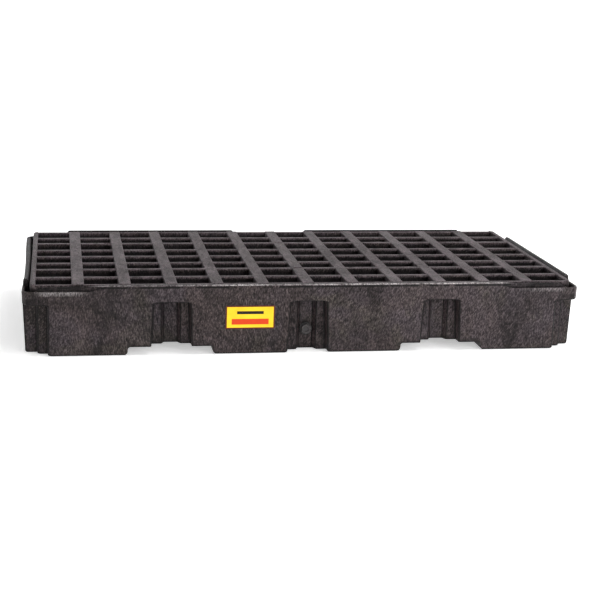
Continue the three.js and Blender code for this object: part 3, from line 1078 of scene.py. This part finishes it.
def rim_painted_highlight(n, strokes):
    """Painted highlights, in broken stretches, on the rim's front edge and on the lip beside the front
    corners.
    """
    x = n.at("X")
    height = n.at("Z")
    patches = n.noise(16.0, 5, 0.75, 0.3, n.stretched((0.45, 1.0, 1.0)))
    patches = n.remap(patches, 0.4, 0.56, 0.35, 1.0)
    less_left = n.ramp(x, -350, -150, 0.3, 1.0)
    highlight_breaks = n.remap(n.noise(85.0, 2, 0.6), 0.4, 0.52, 0.25, 1.0)
    edge = n.product(n.ramp(height, *EDGE_HIGHLIGHT_Z), front_rim(n), patches, less_left, highlight_breaks)
    beside = n.product(n.between(n.abs(x), *LIP_HIGHLIGHT_X), n.between(height, *LIP_HIGHLIGHT_Z))
    forward = n.remap(n.facing("Y"), -0.3, -0.6)
    more_left = n.ramp(x, -100, 100, 0.5, 0.22)
    highlight_streaks = n.remap(strokes, 0.4, 0.6, 0.4, 1.0)
    return n.math("MAXIMUM", edge, n.product(beside, forward, more_left, highlight_streaks))


def rim_painted_shade(n):
    """Painted shade on the rim's top and inner side, and on all of it towards the corners."""
    height = n.at("Z")
    behind = n.product(n.math("SUBTRACT", 1.0, front_rim(n)), n.ramp(height, *RIM_SHADE_Z, 0.0, 0.75))
    ends = n.product(n.ramp(height, *RIM_SHADE_Z, 0.0, 0.6), n.ramp(n.abs(n.at("X")), *RIM_SHADE_X))
    return n.math("MAXIMUM", behind, ends)


def dark_rim_marks(n):
    """Broken dark marks under the painted highlight on the rim's edge."""
    dark_patches = n.noise(24.0, 4, 0.7, 0.2, n.stretched((0.5, 1.0, 1.0), (0, 0, 40)))
    return n.product(n.remap(dark_patches, 0.44, 0.49), n.between(n.at("Z"), *DARK_MARK_Z), front_rim(n))


# Painted shade in the sump, seen through the grating
def sump_painted_shade(n):
    across = n.ramp(n.abs(n.at("Y")), *SUMP_Y, 1.0, 0.0)
    return n.product(across, n.ramp(n.abs(n.at("X")), *SUMP_X, 1.0, 0.0))


def finish_foam(n, pattern, colour, rough):
    """Adds the fine grain, and the moulded surface's pits, strokes and swirls in relief."""
    fibres = n.noise(400.0, 1, 0.5, 0.4, n.stretched((1.0, 1.0, 0.36), (0, -6, 0)))
    grain = n.remap(fibres, 0.32, 0.68, 0.3, 1.7)
    grit = n.product(n.noise(120.0, 2, 0.6), 0.04)
    pits = n.bump(pattern.specks, 0.3, 0.8)
    ripple = n.bump(pattern.strokes, 0.5, 0.6, pits)
    relief = n.bump(pattern.swirl, 1.8, 0.6, ripple)
    return n.surface(n.times(colour, grain), n.math("ADD", rough, grit), relief, FOAM_SPECULAR)


def tray_material():
    """Black polyethylene, with painted highlights along the rim, painted shade in creases, on the rim, in
    the sump and towards the left, and dark marks under the rim's edge.
    """
    n = Nodes("tray_plastic")
    pattern = Mottling(n)
    tone = n.math("SUBTRACT", pattern.tone, flow_lines(n))
    # Painted shade, darker towards the left
    for start, end, amount in LEFT_PAINTED_SHADE:
        tone = n.math("SUBTRACT", tone, n.ramp(n.at("X"), start, end, 0.0, amount))
    colour = moulded_colour(n, tone, TRAY_SHADES)
    colour = n.mix(rubbed_edges(n, 0.1), colour, grey(TRAY_WORN, WORN_TINT))
    # Painted highlights in a bright colour on the rim's front edge and on the lip beside the front corners
    painted_highlight = rim_painted_highlight(n, pattern.strokes)
    colour = n.mix(painted_highlight, colour, grey(RIM_HIGHLIGHT, HIGHLIGHT_TINT))
    # Painted shade in creases and on recess mouths, made patchy
    patchy_shade = n.remap(pattern.clouds, 0.35, 0.65, 0.85, 1.0)
    crease_shade_mask = n.product(n.attribute("crease_shade"), patchy_shade, 0.95)
    # Painted shade on the rim, in the sump and in creases, and the dark marks under the rim's edge, all in
    # the darkest colour
    for dark_mask in (n.math("MAXIMUM", rim_painted_shade(n), dark_rim_marks(n)), n.product(sump_painted_shade(n), 0.6), crease_shade_mask):
        colour = n.mix(dark_mask, colour, grey(DEEP))
    rough = n.math("SUBTRACT", moulded_roughness(n, tone, 0.5), n.product(painted_highlight, 0.15))
    return finish_foam(n, pattern, colour, rough)


def grating_material():
    """The same plastic, darker, with a rubbed top."""
    n = Nodes("grating_plastic")
    pattern = Mottling(n)
    colour = moulded_colour(n, pattern.tone, GRATING_SHADES)
    wear = n.math("MAXIMUM", rubbed_edges(n, 0.9), rubbed_top(n, 0.95))
    colour = n.mix(wear, colour, grey(GRATING_WORN, WORN_TINT))
    # Painted shade on the webs below the ribs' caps
    colour = n.mix(n.ramp(n.at("Z"), *WEB_SHADE_Z, 0.85, 0.0), colour, grey(DEEP))
    return finish_foam(n, pattern, colour, moulded_roughness(n, pattern.tone, 0.6))


def plug_material():
    n = Nodes("plug_black")
    grain = n.noise(300.0, 3, 0.6)
    clouds = n.noise(40.0, 4, 0.6)
    colour = n.mix(n.product(n.attribute("edge"), clouds), grey(0.02), grey(0.11))
    across = n.at("X")
    up = n.math("SUBTRACT", n.at("Z"), DRAIN_Z * MM)
    radius = n.math("SQRT", n.math("ADD", n.product(up, up), n.product(across, across)))
    # Painted shade on the flange round the head
    colour = n.mix(n.ramp(radius, *PLUG_SHADE_RING, 0.0, 0.95), colour, grey(DEEP))
    return n.surface(colour, n.remap(clouds, 0.3, 0.7, 0.42, 0.6), n.bump(grain, 0.06, 0.6))


def rubber_material():
    n = Nodes("seal_rubber")
    grain = n.noise(500.0, 3, 0.6)
    bloom = n.noise(60.0, 4, 0.6)
    colour = n.mix(n.remap(bloom, 0.4, 0.7), grey(0.008), grey(0.02))
    return n.surface(colour, n.remap(bloom, 0.3, 0.7, 0.68, 0.86), n.bump(grain, 0.04, 0.5))


def printed_bar(n, across, height, half_length, middle, half_width):
    off_middle = n.abs(n.math("SUBTRACT", height, middle * MM))
    along = n.math("LESS_THAN", n.abs(across), half_length * MM)
    return n.product(along, n.math("LESS_THAN", off_middle, half_width * MM))


def label_material():
    """Yellow printed film: a dark border and two plain bars, and no lettering."""
    n = Nodes("label_film")
    across = n.math("SUBTRACT", n.at("X"), LABEL_X * MM)
    height = n.math("SUBTRACT", n.at("Z"), LABEL_Z * MM)
    ends = n.math("GREATER_THAN", n.abs(across), LABEL_INSIDE[0] * MM)
    border = n.math("MAXIMUM", ends, n.math("GREATER_THAN", n.abs(height), LABEL_INSIDE[1] * MM))
    fade = n.noise(22.0, 4, 0.6)
    dust = n.noise(160.0, 4, 0.65)
    colour = n.mix(n.remap(fade, 0.35, 0.65), (0.86, 0.52, 0.012, 1), (0.94, 0.62, 0.02, 1))
    colour = n.mix(printed_bar(n, across, height, *RED_BAR), colour, (0.62, 0.045, 0.004, 1))
    colour = n.mix(printed_bar(n, across, height, *BLACK_BAR), colour, (0.006, 0.005, 0.003, 1))
    colour = n.mix(border, colour, (0.09, 0.012, 0.004, 1))
    colour = n.mix(n.remap(dust, 0.6, 0.75, 0.0, 0.12), colour, (0.25, 0.2, 0.1, 1))
    return n.surface(colour, n.remap(fade, 0.3, 0.7, 0.4, 0.55), n.bump(dust, 0.03, 0.4), 0.25)


def floor_material():
    n = Nodes("studio_floor")
    grain = n.noise(3.0, 3, 0.5)
    n.put(n.shader.inputs["Base Color"], n.mix(grain, (0.9, 0.9, 0.9, 1), (0.94, 0.94, 0.94, 1)))
    n.shader.inputs["Roughness"].default_value = 0.9
    n.shader.inputs["Emission Color"].default_value = (1, 1, 1, 1)
    n.shader.inputs["Emission Strength"].default_value = FLOOR_GLOW
    return n.material


# ---- pieces ----

def add_piece(obj, body, node, material):
    obj.data.materials.clear()
    obj.data.materials.append(material)
    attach(obj, body)
    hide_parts(node)


tray = build_tray()
sink_left_end(tray)
mark_edges(tray, mouth_below=NICHE_TOP + 3)
smooth(tray)
add_piece(tray, "tray", "sump_tray", tray_material())

deck = build_grating()
mark_edges(deck, low=8.0, high=20.0)
smooth(deck)
add_piece(deck, "grating", "deck_grating", grating_material())

plug = build_plug()
mark_edges(plug)
smooth(plug)
add_piece(plug, "plug", "drain_plug", plug_material())

seal = build_seal()
smooth(seal, 60)
add_piece(seal, "plug", "drain_seal", rubber_material())

label = build_label()
smooth(label)
add_piece(label, "tray", "front_label", label_material())


# ---- floor, light and camera ----

FLOOR_GLOW = 0.45
FLOOR_FLAT_R = 4000.0
FLOOR_CURVE_R = 3000.0
FLOOR_TOP = 4500.0
WORLD_STRENGTH = 0.14

# The camera, in metres and radians: its place, heading, tilt down and roll
CAMERA_PLACE = (-0.5704, -3.4596, 0.8894)
CAMERA_YAW = math.radians(9.725)
CAMERA_PITCH = 0.232012
CAMERA_ROLL = 0.0296079
CAMERA_LENS = 86.37

# Lights, in metres and watts: place, aim, width, height and power
LIGHTS = {
    "key": ((1.6, -0.8, 4.2), (0, 0, 0), 2.4, 1.6, 104),
    "front": ((2.0, -3.9, 1.7), (0, 0, 0), 2.2, 1.6, 68),
    "back": ((-0.4, 3.4, 3.6), (0, 0, 0), 4.0, 1.6, 25),
    "backdrop": ((0, 2.6, 2.0), (0, 6.5, 0.6), 6.0, 1.0, 120),
}


def build_floor():
    """A round white floor that curves up into a wall all the way round."""
    section = [(r, 0) for r in (0.001, 500, 1000, 1600, 2400, 3200)]
    section += arc(FLOOR_FLAT_R, FLOOR_CURVE_R, FLOOR_CURVE_R, -1, 0, 12)
    section.append((FLOOR_FLAT_R + FLOOR_CURVE_R, FLOOR_TOP))
    sides = 96
    verts = np.vstack([circle(0, 0, r, z, sides) for r, z in section])
    faces = []
    for k in range(len(section) - 1):
        for i in range(sides):
            j = (i + 1) % sides
            faces.append(((k + 1) * sides + i, (k + 1) * sides + j, k * sides + j, k * sides + i))
    floor = make_object("studio_floor", verts, faces)
    floor.data.shade_smooth()
    floor.data.materials.append(floor_material())


def soft_light(name, place, aim, width, height, power):
    data = bpy.data.lights.new(name, "AREA")
    data.shape = "RECTANGLE"
    data.size = width
    data.size_y = height
    data.energy = power
    light = bpy.data.objects.new(name, data)
    bpy.context.scene.collection.objects.link(light)
    light.location = place
    x, y, z = np.array(aim, float) - np.array(place, float)
    tilt = math.acos(-z / math.sqrt(x * x + y * y + z * z))
    light.rotation_euler = (tilt, 0.0, math.atan2(y, x) - math.pi / 2)


def build_camera():
    """A long lens, a little left of the middle, looking slightly down."""
    yaw, pitch, roll = CAMERA_YAW, CAMERA_PITCH, CAMERA_ROLL
    level = np.array([math.sin(yaw), math.cos(yaw), 0.0]) * math.cos(pitch)
    forward = level - np.array([0.0, 0.0, math.sin(pitch)])
    flat = np.array([math.cos(yaw), -math.sin(yaw), 0.0])
    upright = np.cross(flat, forward)
    right = math.cos(roll) * flat + math.sin(roll) * upright
    up = math.cos(roll) * upright - math.sin(roll) * flat
    data = bpy.data.cameras.new("camera")
    data.sensor_width = 36.0
    data.lens = CAMERA_LENS
    data.clip_end = 100.0
    camera = bpy.data.objects.new("camera", data)
    bpy.context.scene.collection.objects.link(camera)
    turn = Matrix([right, up, -forward]).transposed().to_4x4()
    turn.translation = CAMERA_PLACE
    camera.matrix_world = turn
    bpy.context.scene.camera = camera


def build_world():
    world = bpy.data.worlds.new("studio")
    world.use_nodes = True
    background = world.node_tree.nodes["Background"]
    background.inputs["Color"].default_value = (1, 1, 1, 1)
    background.inputs["Strength"].default_value = WORLD_STRENGTH
    bpy.context.scene.world = world


build_floor()
build_world()
for light_name, settings in LIGHTS.items():
    soft_light(light_name, *settings)
build_camera()
bpy.context.scene.view_settings.view_transform = "Standard"
